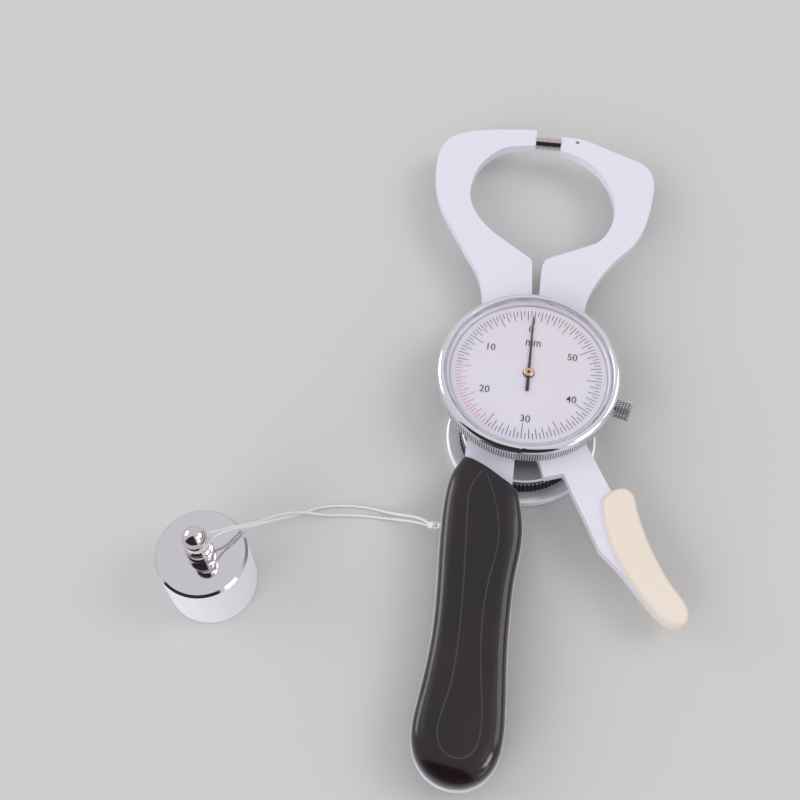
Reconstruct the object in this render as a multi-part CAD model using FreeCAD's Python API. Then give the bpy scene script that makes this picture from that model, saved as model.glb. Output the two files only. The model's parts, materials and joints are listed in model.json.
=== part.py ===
"""Plate skinfold caliper with a dial, a sprung lever, a pressure wheel and a corded test weight.

Millimetres. The origin is the lever's pivot axis on the surface that the caliper lies on.
+Y runs from the pivot to the jaw tips, +X towards the moving arm and +Z out through the dial.
"""
import FreeCAD, Part
import math
import os

V = FreeCAD.Vector
UP = V(0, 0, 1)

# ---------------------------------------------------------------- driving dimensions
RUN = 0.04                   # radial clearance of running fits
SEAT = 0.01                  # radial clearance drawn at pressed and screwed fits
CLEAR = 0.1                  # radial clearance of through holes for screws

DIAL_Y = 17.6                # dial centre, straight above the pivot
ANVIL_Y = 136.75             # jaw contact, from the pivot
ANVIL_R = 2.523              # a 20 mm2 face: 200 g on it presses 10 g per mm2
ANVIL_GAP = 0.01             # from the plane x = 0 to each face on the closed jaws
PINION_LEAVES = 10
SECTOR_TEETH = 142           # teeth of the full circle: 60 mm at the jaws turn the needle once
MODULE = 2 * DIAL_Y / (SECTOR_TEETH + PINION_LEAVES)
SECTOR_PITCH_R = MODULE * SECTOR_TEETH / 2
PINION_PITCH_R = MODULE * PINION_LEAVES / 2

DISC_R = 29.1                # chrome back disc, the face that the caliper lies on
DISC_TOP = 2.5
STUB_R = 2.0                 # threaded end of the pivot shaft, screwed in the disc
STUB_END = 0.7
WHEEL_R = 24.0               # knurled pressure wheel
WHEEL_BOTTOM = 2.8
WHEEL_FLOOR = (3.15, 4.65)
WHEEL_TOP = 9.2
WHEEL_BORE_R = 20.8
WHEEL_TEETH = 100
WHEEL_EDGE = 0.5             # bevel on the wheel's upper edge
WASHER_R = 12.0
PLATE_R = 23.5               # bevelled plate that closes the spring drum
PLATE = (9.5, 11.25)
PLATE_BEVEL = 0.6

SPRING_Z = (5.1, 8.7)        # mainspring in the wheel
SPRING_PITCH = 3.2
SPRING_HALF_TURNS = 9
SPRING_THICK = 0.5
SPRING_PIN_R = 0.7
SPRING_PIN_AT = (-18.78, -0.2)
HAIR_Z = (19.4, 19.9)        # hairspring on the arbor
HAIR_INNER = 1.25
HAIR_PITCH = 0.9
HAIR_HALF_TURNS = 11
HAIR_THICK = 0.15
STUD_R = 0.45
STUD_AT = (-6.275, DIAL_Y - 0.46)

ARM_TOP = 15.35              # both arms are flush on top
FIXED_BOTTOM = PLATE[1]
MOVING_BOTTOM = 11.35
ARM_MID = 13.35
HUB_R = 13.0                 # half-lap hubs of the two arms
HUB_GAP = 0.3
LAP_GAP = 0.05
TANG_PROUD = 0.35            # plate edge that shows between the handle shells
TONGUE_R = 2.6               # round lug of the fixed arm under the needle arbor

SHAFT_R = 3.0
SHAFT_HEAD = (4.5, 16.15)
BUSH_R = 5.0                 # lever bush, pressed in the moving arm
BUSH_BOTTOM = 5.0
FOOT_BUSH_R = 1.6            # lower bearing of the needle arbor
ARBOR_R = 0.6
ARBOR_FOOT_R = 0.42
ARBOR_Z = (13.6, 15.4, 22.35)
COLLET_R = 1.2

STEM_R = 1.5                 # stems that hold the anvils in the jaws
STEM_LENGTH = 9.0
SET_SCREW_R = 0.85
SET_SCREW_AT = (12.3, 137.3)
SET_SCREW_Z = (14.2, 15.2)
SMALL_SCREW_R = 1.0          # case, sector and thumb pad screws
PLATE_SCREW_R = 1.25
HANDLE_SCREW_R = 1.5
CASE_POSTS = ((-14.6, 5.0), (-15.0, 30.0), (-5.2, 42.6))
PLATE_SCREWS_AT = ((-18.0, 0.0), (-10.5, 15.0), (-10.5, -15.0))
HANDLE_SCREWS_AT = ((-12.0, -48.0), (-12.8, -116.0))
SECTOR_SCREWS_AT = ((15.9, 2.4), (13.4, 9.2))
PAD_SCREWS_AT = ((41.8, -42.5), (52.0, -61.4))

CASE_R = 33.2                # dial case wall
CASE_BORE_R = 31.0
CASE_Z = (15.6, 19.7)
CASE_FLOOR = (17.9, 18.7)
SECTOR_Z = (15.6, 16.9)
DIAL_Z = (20.6, 21.2)
DIAL_R = 32.4
DIAL_BORE_R = 2.2
SKIRT_R = 34.5               # knurled skirt of the bezel
SKIRT_BOTTOM = 15.6
SKIRT_BORE_R = 33.28
SKIRT_TEETH = 220
FLANGE_R = 35.0
FLANGE_Z = (21.4, 24.1)
BEAD_R = 2.0                 # rounded upper edge of the flange
LIP_R = 31.2                 # sight opening at the crystal
SIGHT_R = 30.0               # foot of the cone that leads down to the dial
CRYSTAL_R = 32.1
CRYSTAL_Z = (22.6, 23.75)
SNAP_Z = (16.2, 16.8)        # spring ring that holds the bezel on the case
SNAP_Z_GROOVE = (16.1, 16.9)
NEEDLE_Z = (21.75, 21.95)
NEEDLE_TIP = 25.4
NEEDLE_TAIL = 8.1
NEEDLE_EYE_R = 1.6
NEEDLE_NECK_R = 1.0

KNOB_DEG = -15.0             # lock screw, radial to the dial
KNOB_R = 3.75
KNOB_Z = 18.0
KNOB_SPAN = (35.2, 41.0)
KNOB_TEETH = 26
KNOB_ROWS = 5                # rows of diamonds, each turned half a tooth on the last
KNOB_SCREW_R = 1.0
KNOB_SCREW_TIP = 33.26

SHELL_TOP = ARM_TOP + 6.5    # front handle shell
SHELL_BACK = 5.0             # lowest face of the back shell
LEAF_LINE = 0.5              # width and depth of the engraved leaf line
PAD_Z = (8.4, 17.8)

EYE_AT = (-28.3, -45.5)      # eyelet ring in the handle's edge
EYE_R = 1.15
EYE_WIRE = 0.4
SHANK_R = 0.6
CORD_R = 0.5
KNOT_AT = (-30.95, -45.4, 12.9)
KNOT_R = 1.0
BIGHT_R = 0.95               # turn of the cord through the eyelet
BIGHT_CORD_R = 0.45
WEIGHT_AT = (-108.0, -72.0)
WEIGHT_R = 16.4
WEIGHT_H = 28.8
SPIGOT_R = 2.5               # end of the weight's knob, screwed in its top
SPIGOT_Z = 22.1
BALL_R = 4.4
BALL_Z = 42.6


# ---------------------------------------------------------------- small tools
def cyl(radius, low, high, at=(0.0, 0.0)):
    return Part.makeCylinder(radius, high - low, V(at[0], at[1], low))


def ring(inner, outer, low, high, at=(0.0, 0.0)):
    return cyl(outer, low, high, at).cut(cyl(inner, low - 1, high + 1, at))


def slab(wire, low, high):
    """Prism of a closed wire drawn at z = 0."""
    body = Part.Face(wire).extrude(V(0, 0, high - low))
    body.translate(V(0, 0, low))
    return body


def lathe(profile, at=(0.0, 0.0)):
    """Solid of revolution about +Z of (radius, z) points.

    An entry ("arc", middle, end) bends through the first of its points to the second.
    """
    edges = []
    last = V(profile[0][0], 0, profile[0][1])
    for entry in list(profile[1:]) + [profile[0]]:
        if entry[0] == "arc":
            middle = V(entry[1][0], 0, entry[1][1])
            end = V(entry[2][0], 0, entry[2][1])
            edges.append(Part.Arc(last, middle, end).toShape())
        else:
            end = V(entry[0], 0, entry[1])
            if end.distanceToPoint(last) > 1e-6:
                edges.append(Part.LineSegment(last, end).toShape())
        last = end
    solid = Part.Face(Part.Wire(edges)).revolve(V(0, 0, 0), UP, 360)
    solid.translate(V(at[0], at[1], 0))
    return solid


def outline(start, *steps):
    """Closed wire at z = 0: ("to", p, ...) draws lines, ("bend", p, ...) one smooth curve."""
    edges = []
    last = V(start[0], start[1], 0)
    for kind, *points in steps:
        points = [V(x, y, 0) for x, y in points]
        if kind == "to":
            for point in points:
                edges.append(Part.LineSegment(last, point).toShape())
                last = point
        else:
            curve = Part.BSplineCurve()
            curve.interpolate([last] + points)
            edges.append(curve.toShape())
            last = points[-1]
    first = V(start[0], start[1], 0)
    if last.distanceToPoint(first) > 1e-6:
        edges.append(Part.LineSegment(last, first).toShape())
    return Part.Wire(edges)


def loop(points, grow=0.0):
    """Closed smooth curve through the points of a clockwise outline, at z = 0, grown outwards."""
    places = []
    for before, point, after in zip(points[-1:] + points[:-1], points, points[1:] + points[:1]):
        along = V(after[0] - before[0], after[1] - before[1], 0).normalize()
        places.append(V(point[0], point[1], 0) + V(-along.y, along.x, 0) * grow)
    curve = Part.BSplineCurve()
    curve.interpolate(places, True)
    return Part.Wire([curve.toShape()])


def pillow(points, stations):
    """Rounded solid lofted through copies of one closed outline; each station is (z, inset)."""
    sections = []
    for z, inset in stations:
        section = loop(points, -inset)
        section.translate(V(0, 0, z))
        sections.append(section)
    return Part.makeLoft(sections, True)


def crowned(points, heart, stations):
    """Rounded solid whose sections shrink from one closed outline towards another inside it.

    Each station is (z, share), the share of the way that the outline has moved to the inner one.
    """
    inner = loop(heart)
    goals = []
    for point in points:
        goals.append(Part.Vertex(*point, 0).distToShape(inner)[1][0][1])
    sections = []
    for z, share in stations:
        section = loop([(x + share * (goal.x - x), y + share * (goal.y - y))
                        for (x, y), goal in zip(points, goals)])
        section.translate(V(0, 0, z))
        sections.append(section)
    return Part.makeLoft(sections, True)


def star(count, tip, root, crest=0.3):
    """Closed wire of a straight knurl: count teeth with flat crests and V grooves."""
    points = []
    step = 2 * math.pi / count
    for tooth in range(count):
        for part, radius in ((-0.5, root), (-crest / 2, tip), (crest / 2, tip)):
            angle = (tooth + part) * step
            points.append(V(radius * math.cos(angle), radius * math.sin(angle), 0))
    return Part.makePolygon(points + [points[0]])


def spiral(inner, pitch, half_turns, thick, low, high, at=(0.0, 0.0)):
    """Flat spiral strip of half circles on two centres, starting on +X."""
    outer_edges = []
    inner_edges = []
    for number in range(half_turns):
        side = 1 if number % 2 == 0 else -1
        centre = V(-side * pitch / 4, 0, 0)
        radius = inner + pitch / 4 + number * pitch / 2
        for extra, edges in ((0.0, inner_edges), (thick, outer_edges)):
            far = radius + extra
            edges.append(Part.Arc(centre + V(side * far, 0, 0), centre + V(0, side * far, 0),
                                  centre + V(-side * far, 0, 0)).toShape())
    ends = []
    for end in (0, -1):
        ends.append(Part.LineSegment(inner_edges[end].Vertexes[end].Point,
                                     outer_edges[end].Vertexes[end].Point).toShape())
    wire = Part.Wire(Part.__sortEdges__(inner_edges + outer_edges + ends))
    strip = slab(wire, low, high)
    strip.translate(V(at[0], at[1], 0))
    return strip


def fuse(*shapes):
    whole = shapes[0].multiFuse(list(shapes[1:])) if len(shapes) > 1 else shapes[0]
    return whole.removeSplitter()


def save(name, *shapes):
    shape = shapes[0] if len(shapes) == 1 else Part.makeCompound(list(shapes))
    for solid in shape.Solids:
        if not solid.isValid() or solid.Volume <= 0:
            raise RuntimeError(name + " isn't a sound solid")
    shape.exportStep("parts/" + name + ".step")


# ---------------------------------------------------------------- outlines of the two arms and the grips
FIXED_ARM = ((-5.5, 141.9),
             ("to", (-10.2, 141.9)),
             ("bend", (-22.1, 140.6), (-31.0, 139.0), (-38.5, 136.3), (-43.6, 132.2), (-46.2, 126.3),
              (-46.8, 118.7), (-46.3, 110.1), (-44.4, 101.8), (-40.4, 92.6), (-35.1, 83.8), (-29.4, 74.1),
              (-24.8, 66.6), (-22.0, 59.1), (-20.8, 50.0)),
             ("to", (-20.6, 40.0), (-20.6, -24.0), (-2.0, -30.0), (-2.0, -13.0), (-1.3, -12.0),
              (-1.3, 58.5), (-2.2, 70.0), (-2.5, 73.0)),
             ("bend", (-2.75, 74.0), (-3.4, 74.7), (-4.4, 75.35)),
             ("to", (-7.3, 77.4), (-19.1, 85.7)),
             ("bend", (-25.4, 92.0), (-29.5, 98.7), (-31.0, 104.6), (-30.4, 113.2), (-28.2, 120.3),
              (-23.8, 126.5), (-18.3, 130.9), (-7.5, 133.4), (-5.5, 134.0)))

MOVING_ARM = ((5.3, 139.8),
              ("to", (12.9, 139.3)),
              ("bend", (19.9, 137.3), (28.0, 133.9), (35.9, 130.9), (41.2, 128.2), (44.3, 124.3),
               (45.7, 118.5), (45.5, 112.4), (44.2, 102.7), (42.1, 94.2), (37.7, 85.5), (30.6, 76.7),
               (25.4, 68.2), (22.1, 61.1), (20.3, 52.0)),
              ("to", (20.4, 40.0), (22.0, 5.0), (24.6, -7.8), (33.9, -24.4)),
              ("bend", (39.6, -30.0), (44.2, -39.0), (49.6, -50.5), (55.2, -60.5), (60.2, -67.4),
               (60.6, -71.2), (58.6, -73.4)),
              ("bend", (50.8, -68.6), (44.6, -62.2), (37.4, -54.2)),
              ("to", (31.3, -48.7), (25.6, -37.7), (20.4, -28.0), (17.2, -21.3)),
              ("bend", (16.8, -20.6), (16.3, -20.2), (15.6, -20.3)),
              ("to", (10.2, -22.1)),
              ("bend", (9.5, -22.25), (9.0, -21.8)),
              ("to", (7.2, -16.5), (5.4, -12.6), (1.7, -8.0), (1.7, 68.0)),
              ("bend", (1.95, 71.6), (3.0, 74.5), (5.2, 76.1)),
              ("to", (22.6, 85.0)),
              ("bend", (25.6, 88.0), (28.4, 93.6), (29.8, 99.8), (29.5, 106.9), (26.9, 115.1),
               (22.7, 122.0), (16.5, 127.5), (10.4, 130.7), (5.3, 131.8)))

HANDLE = ((-20.6, -18.9), (-19.5, -19.05), (-17.2, -19.9), (-13.6, -21.6), (-9.2, -24.1),
          (-4.8, -26.6), (-1.4, -28.9), (0.4, -31.4), (1.4, -35.0), (2.8, -42.4),
          (3.1, -51.4), (1.9, -62.9), (1.4, -75.7), (1.5, -88.1), (2.1, -100.1), (2.8, -111.8),
          (2.8, -121.0), (0.9, -129.3), (-4.4, -135.7), (-12.2, -138.0), (-19.6, -136.1),
          (-25.2, -130.7), (-27.9, -122.4), (-27.5, -113.0), (-25.8, -99.0), (-24.9, -83.2),
          (-25.2, -70.5), (-25.9, -57.6), (-26.3, -46.9), (-26.2, -36.0), (-25.3, -28.6),
          (-23.9, -24.2), (-22.2, -20.9), (-21.4, -19.4))

LEAF = ((-12.4, -25.2), (-9.9, -30.9), (-6.7, -40.4), (-5.4, -48.0), (-5.5, -55.0), (-7.1, -65.3),
        (-8.1, -77.0), (-7.9, -89.0), (-6.7, -101.5), (-5.3, -112.0), (-5.2, -121.0), (-7.3, -127.0),
        (-11.6, -129.0), (-16.2, -127.5), (-18.9, -123.2), (-19.0, -116.8), (-17.1, -108.3),
        (-15.8, -96.0), (-15.6, -82.0), (-16.1, -66.4), (-16.9, -51.4), (-17.5, -39.5), (-16.9, -32.0),
        (-15.0, -27.6), (-13.4, -25.5))

THUMB_PAD = ((31.9, -27.6), (35.1, -24.6), (39.7, -23.7), (42.4, -25.5), (43.9, -30.0), (45.5, -35.6),
             (48.5, -43.2), (53.3, -52.7), (58.4, -60.3), (62.5, -65.8), (63.5, -69.3), (62.3, -72.4),
             (59.4, -73.9), (55.6, -72.8), (49.4, -67.6), (43.3, -60.3), (38.0, -52.3), (33.6, -41.8),
             (31.6, -33.4))


# ---------------------------------------------------------------- arms and jaws
def fixed_plate():
    """Fixed arm: jaw, upper half of the hub lap, arbor tongue and the tang inside the handle."""
    plate = slab(outline(*FIXED_ARM), FIXED_BOTTOM, ARM_TOP)
    tang = slab(loop(HANDLE, TANG_PROUD), FIXED_BOTTOM, ARM_TOP)
    tongue = cyl(TONGUE_R, FIXED_BOTTOM, ARM_TOP, (0, DIAL_Y))
    bridge = Part.makeBox(3.0, 4.0, ARM_TOP - FIXED_BOTTOM, V(-3.0, DIAL_Y - 2.0, FIXED_BOTTOM))
    body = fuse(plate, tang, tongue, bridge)
    body = body.cut(cyl(HUB_R + HUB_GAP, FIXED_BOTTOM - 1, ARM_MID + LAP_GAP))
    body = fuse(body, cyl(HUB_R, ARM_MID + LAP_GAP, ARM_TOP))
    tools = [cyl(SHAFT_R + SEAT, FIXED_BOTTOM - 1, ARM_TOP + 1),
             cyl(FOOT_BUSH_R + SEAT, FIXED_BOTTOM - 1, ARM_TOP + 1, (0, DIAL_Y)),
             anvil_stem(-1, SEAT)]
    tools += [cyl(SMALL_SCREW_R + SEAT, 12.4, ARM_TOP + 1, at) for at in CASE_POSTS]
    tools += [cyl(PLATE_SCREW_R + SEAT, FIXED_BOTTOM - 1, 14.4, at) for at in PLATE_SCREWS_AT]
    tools += [cyl(HANDLE_SCREW_R + CLEAR, FIXED_BOTTOM - 1, ARM_TOP + 1, at) for at in HANDLE_SCREWS_AT]
    tools += [eye_shank(SEAT)]
    return body.cut(Part.makeCompound(tools))


def moving_plate():
    """Moving arm: jaw, lower half of the hub lap and the lever for the thumb."""
    body = slab(outline(*MOVING_ARM), MOVING_BOTTOM, ARM_TOP)
    body = body.cut(cyl(HUB_R + HUB_GAP, ARM_MID - LAP_GAP, ARM_TOP + 1))
    body = fuse(body, cyl(HUB_R, MOVING_BOTTOM, ARM_MID - LAP_GAP))
    tools = [cyl(BUSH_R + SEAT, MOVING_BOTTOM - 1, ARM_TOP + 1),
             cyl(TONGUE_R + 0.5, MOVING_BOTTOM - 1, ARM_TOP + 1, (0, DIAL_Y)),
             anvil_stem(1, SEAT),
             cyl(SET_SCREW_R + SEAT, SET_SCREW_Z[0], ARM_TOP + 1, SET_SCREW_AT)]
    tools += [cyl(SMALL_SCREW_R + SEAT, 12.6, ARM_TOP + 1, at) for at in SECTOR_SCREWS_AT]
    tools += [cyl(SMALL_SCREW_R + CLEAR, MOVING_BOTTOM - 1, ARM_TOP + 1, at) for at in PAD_SCREWS_AT]
    return body.cut(Part.makeCompound(tools))


def anvil_stem(side, extra=0.0):
    """Stem of an anvil, side -1 in the fixed jaw and 1 in the moving one, with a flat for the screw."""
    root = 5.0 * side
    stem = Part.makeCylinder(STEM_R + extra, STEM_LENGTH + extra, V(root, ANVIL_Y, ARM_MID), V(side, 0, 0))
    if side > 0:
        stem = stem.cut(Part.makeBox(4, 6, 4, V(SET_SCREW_AT[0] - 2, ANVIL_Y - 3, SET_SCREW_Z[0])))
    return stem


def anvil(side):
    """Hardened pin with a flat 20 mm2 face; the two faces meet on the closed jaws."""
    face = ANVIL_GAP * side
    seat = 5.5 if side < 0 else 5.3
    length = seat - ANVIL_GAP
    head = Part.makeCylinder(ANVIL_R, length, V(face, ANVIL_Y, ARM_MID), V(side, 0, 0))
    head = head.makeChamfer(0.15, [edge for edge in head.Edges
                                   if edge.BoundBox.XLength < 1e-6 and abs(edge.BoundBox.XMin - face) < 1e-6])
    return fuse(head, anvil_stem(side))


def build_arms():
    save("fixed_jaw_arm", fixed_plate())
    save("moving_jaw_arm", moving_plate())
    save("fixed_anvil", anvil(-1))
    save("moving_anvil", anvil(1))
    screw = cyl(SET_SCREW_R, *SET_SCREW_Z, SET_SCREW_AT)
    slot = Part.makeBox(2.0, 0.3, 0.3, V(SET_SCREW_AT[0] - 1, SET_SCREW_AT[1] - 0.15, SET_SCREW_Z[1] - 0.3))
    save("anvil_set_screw", screw.cut(slot))


# ---------------------------------------------------------------- pivot, spring drum and back disc
def build_pivot():
    head_r, head_top = SHAFT_HEAD
    shaft = lathe(((0, STUB_END), (STUB_R - 0.3, STUB_END), (STUB_R, STUB_END + 0.3), (STUB_R, DISC_TOP),
                   (SHAFT_R, DISC_TOP), (SHAFT_R, ARM_TOP), (head_r, ARM_TOP), (head_r, head_top - 0.3),
                   (head_r - 0.3, head_top), (0, head_top)))
    slot = Part.makeBox(2 * head_r, 0.9, 0.5, V(-head_r, -0.45, head_top - 0.4))
    save("pivot_shaft", shaft.cut(slot))

    bush = ring(SHAFT_R + RUN, BUSH_R, BUSH_BOTTOM, ARM_MID - LAP_GAP)
    slot = Part.makeBox(2.5, SPRING_THICK + 0.1, SPRING_Z[1] - BUSH_BOTTOM + 0.1, V(3.5, -0.05, BUSH_BOTTOM))
    save("lever_bush", bush.cut(slot))

    disc = lathe(((0, 0), (28.3, 0), ("arc", (28.87, 0.23), (DISC_R, 0.8)), (DISC_R, 1.5),
                  ("arc", (28.75, 2.2), (28.0, DISC_TOP)), (0, DISC_TOP)))
    save("back_disc", disc.cut(cyl(STUB_R + SEAT, STUB_END, DISC_TOP + 1)))

    save("friction_washer", ring(SHAFT_R + CLEAR, WASHER_R, DISC_TOP, WHEEL_FLOOR[0] - 0.05))

    rim = slab(star(WHEEL_TEETH, WHEEL_R, WHEEL_R - 0.55), WHEEL_BOTTOM, WHEEL_TOP)
    rim = rim.common(lathe(((0, WHEEL_BOTTOM), (WHEEL_R, WHEEL_BOTTOM), (WHEEL_R, WHEEL_TOP - WHEEL_EDGE),
                            (WHEEL_R - WHEEL_EDGE, WHEEL_TOP), (0, WHEEL_TOP))))
    rim = rim.cut(cyl(WHEEL_BORE_R, WHEEL_FLOOR[1], WHEEL_TOP + 1))
    rim = rim.cut(cyl(WHEEL_BORE_R + 1.2, WHEEL_BOTTOM - 1, WHEEL_FLOOR[0]))
    save("adjusting_wheel", rim.cut(cyl(SHAFT_R + RUN, WHEEL_BOTTOM - 1, WHEEL_TOP + 1)))
    save("spring_anchor_pin", cyl(SPRING_PIN_R, WHEEL_FLOOR[1], SPRING_Z[1] + 0.1, SPRING_PIN_AT))

    strip = spiral(BUSH_R + 0.1, SPRING_PITCH, SPRING_HALF_TURNS, SPRING_THICK, *SPRING_Z)
    tab = Part.makeBox(2.0, SPRING_THICK, SPRING_Z[1] - SPRING_Z[0], V(3.6, 0, SPRING_Z[0]))
    eye = ring(SPRING_PIN_R + 0.02, SPRING_PIN_R + 0.02 + SPRING_THICK, *SPRING_Z, SPRING_PIN_AT)
    save("mainspring", fuse(strip, tab, eye))

    plate = lathe(((0, PLATE[0]), (PLATE_R, PLATE[0]), (PLATE_R, PLATE[1] - PLATE_BEVEL),
                   (PLATE_R - PLATE_BEVEL, PLATE[1]), (0, PLATE[1])))
    plate = plate.cut(cyl(BUSH_R + HUB_GAP, PLATE[0] - 1, PLATE[1] + 1))
    sink = 2 * PLATE_SCREW_R
    for at in PLATE_SCREWS_AT:
        plate = plate.cut(cyl(PLATE_SCREW_R + SEAT, PLATE[0] - 1, PLATE[1] + 1, at))
        plate = plate.cut(Part.makeCone(sink, PLATE_SCREW_R, sink - PLATE_SCREW_R, V(*at, PLATE[0])))
    save("pivot_plate", plate)
    save("plate_screws", *[fuse(cyl(PLATE_SCREW_R, PLATE[0] + 1.0, 14.2, at),
                                Part.makeCone(sink - 0.05, PLATE_SCREW_R - 0.05, sink - PLATE_SCREW_R,
                                              V(*at, PLATE[0] + 0.02)))
                           for at in PLATE_SCREWS_AT])


# ---------------------------------------------------------------- gear train
def gear_teeth(centre, pitch_r, teeth, first, last, phase, high, low, width):
    """Teeth as tapered blades from the root circle to the tip circle, numbered first to last."""
    blades = []
    step = 2 * math.pi / teeth
    for number in range(first, last + 1):
        angle = phase + number * step
        corners = []
        for radius, share in ((pitch_r - low, 1.25 * width), (pitch_r, width),
                              (pitch_r + 0.6 * high, 0.7 * width), (pitch_r + high, 0.32 * width)):
            corners.append((radius, share * math.pi * MODULE / 2))
        points = [(radius, -half) for radius, half in corners]
        points += [(radius, half) for radius, half in corners[::-1]]
        across = V(-math.sin(angle), math.cos(angle), 0)
        along = V(math.cos(angle), math.sin(angle), 0)
        place = [V(centre[0], centre[1], 0) + along * radius + across * half for radius, half in points]
        blades.append(slab(Part.makePolygon(place + [place[0]]), *SECTOR_Z))
    return blades


def fan(radius, start_deg, end_deg, low, high):
    """Circular sector about the pivot."""
    body = Part.makeCylinder(radius, high - low, V(0, 0, low), UP, end_deg - start_deg)
    body.rotate(V(0, 0, 0), UP, start_deg)
    return body


def build_gears():
    half_step = math.pi / SECTOR_TEETH
    teeth = gear_teeth((0, 0), SECTOR_PITCH_R, SECTOR_TEETH, -3, 10, math.pi / 2 + half_step,
                       0.75 * MODULE, 1.3 * MODULE, 0.44)
    blank = fuse(cyl(8.0, *SECTOR_Z), fan(SECTOR_PITCH_R - 1.2 * MODULE, 81, 120.5, *SECTOR_Z),
                 fan(13.6, 20, 90, *SECTOR_Z), fan(17.6, -1, 46, *SECTOR_Z),
                 *[cyl(2.2, ARM_TOP, SECTOR_Z[1], at) for at in SECTOR_SCREWS_AT])
    window = fan(11.6, 50, 112, SECTOR_Z[0] - 1, SECTOR_Z[1] + 1).cut(cyl(9.4, 15, 18))
    sector = fuse(blank.cut(window), *teeth)
    holes = [cyl(SHAFT_HEAD[0] + HUB_GAP, 15, 18)]
    holes += [cyl(SMALL_SCREW_R + SEAT, 15, 18, at) for at in SECTOR_SCREWS_AT]
    save("sector_gear", sector.cut(Part.makeCompound(holes)))
    save("sector_screws", *[fuse(cyl(SMALL_SCREW_R, 12.8, SECTOR_Z[1], at),
                                 cyl(1.8, SECTOR_Z[1], CASE_FLOOR[0] - 0.3, at))
                            for at in SECTOR_SCREWS_AT])

    leaves = gear_teeth((0, DIAL_Y), PINION_PITCH_R, PINION_LEAVES, 0, PINION_LEAVES - 1, -math.pi / 2,
                        0.8 * MODULE, 1.2 * MODULE, 0.42)
    core = cyl(PINION_PITCH_R - 1.1 * MODULE, *SECTOR_Z, (0, DIAL_Y))
    foot, shoulder, top = ARBOR_Z
    arbor = fuse(cyl(ARBOR_FOOT_R, foot, top, (0, DIAL_Y)), cyl(ARBOR_R, shoulder, top, (0, DIAL_Y)))
    save("pinion_arbor", fuse(arbor, core, *leaves))
    save("arbor_foot_bush", ring(ARBOR_FOOT_R + RUN, FOOT_BUSH_R, foot - 0.2, ARM_TOP, (0, DIAL_Y)))


# ---------------------------------------------------------------- dial case and bezel
def build_case():
    centre = (0, DIAL_Y)
    wall = ring(CASE_BORE_R, CASE_R, *CASE_Z, centre)
    floor = cyl(CASE_BORE_R + 0.5, *CASE_FLOOR, centre)
    posts = [cyl(2.6, ARM_TOP, CASE_FLOOR[0] + 0.1, at) for at in CASE_POSTS]
    case = fuse(wall, floor, *posts)
    tools = [cyl(SMALL_SCREW_R + SEAT, ARM_TOP - 1, CASE_FLOOR[1] + 1, at) for at in CASE_POSTS]
    tools += [cyl(1.8 + SEAT, CASE_FLOOR[0] - 1, CASE_FLOOR[1] + 1, centre),
              ring(CASE_R - 0.5, CASE_R + 1, *SNAP_Z_GROOVE, centre),
              cyl(STUD_R + SEAT, CASE_FLOOR[0] + 0.4, CASE_FLOOR[1] + 1, STUD_AT)]
    save("dial_case", case.cut(Part.makeCompound(tools)))
    save("case_screws", *[fuse(cyl(SMALL_SCREW_R, 12.5, CASE_FLOOR[1], at), cyl(1.9, CASE_FLOOR[1], 19.6, at))
                          for at in CASE_POSTS])

    bush = fuse(cyl(1.8, *CASE_FLOOR, centre), cyl(2.5, CASE_FLOOR[1], 19.0, centre))
    save("arbor_bush", bush.cut(cyl(ARBOR_R + RUN, CASE_FLOOR[0] - 1, 20, centre)))

    save("hairspring_collet", ring(ARBOR_R + SEAT, COLLET_R, HAIR_Z[0] - 0.1, HAIR_Z[1] + 0.1, centre))
    save("hairspring", spiral(HAIR_INNER, HAIR_PITCH, HAIR_HALF_TURNS, HAIR_THICK, *HAIR_Z, centre))
    save("hairspring_stud", cyl(STUD_R, CASE_FLOOR[0] + 0.45, HAIR_Z[1] + 0.2, STUD_AT))


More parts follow.
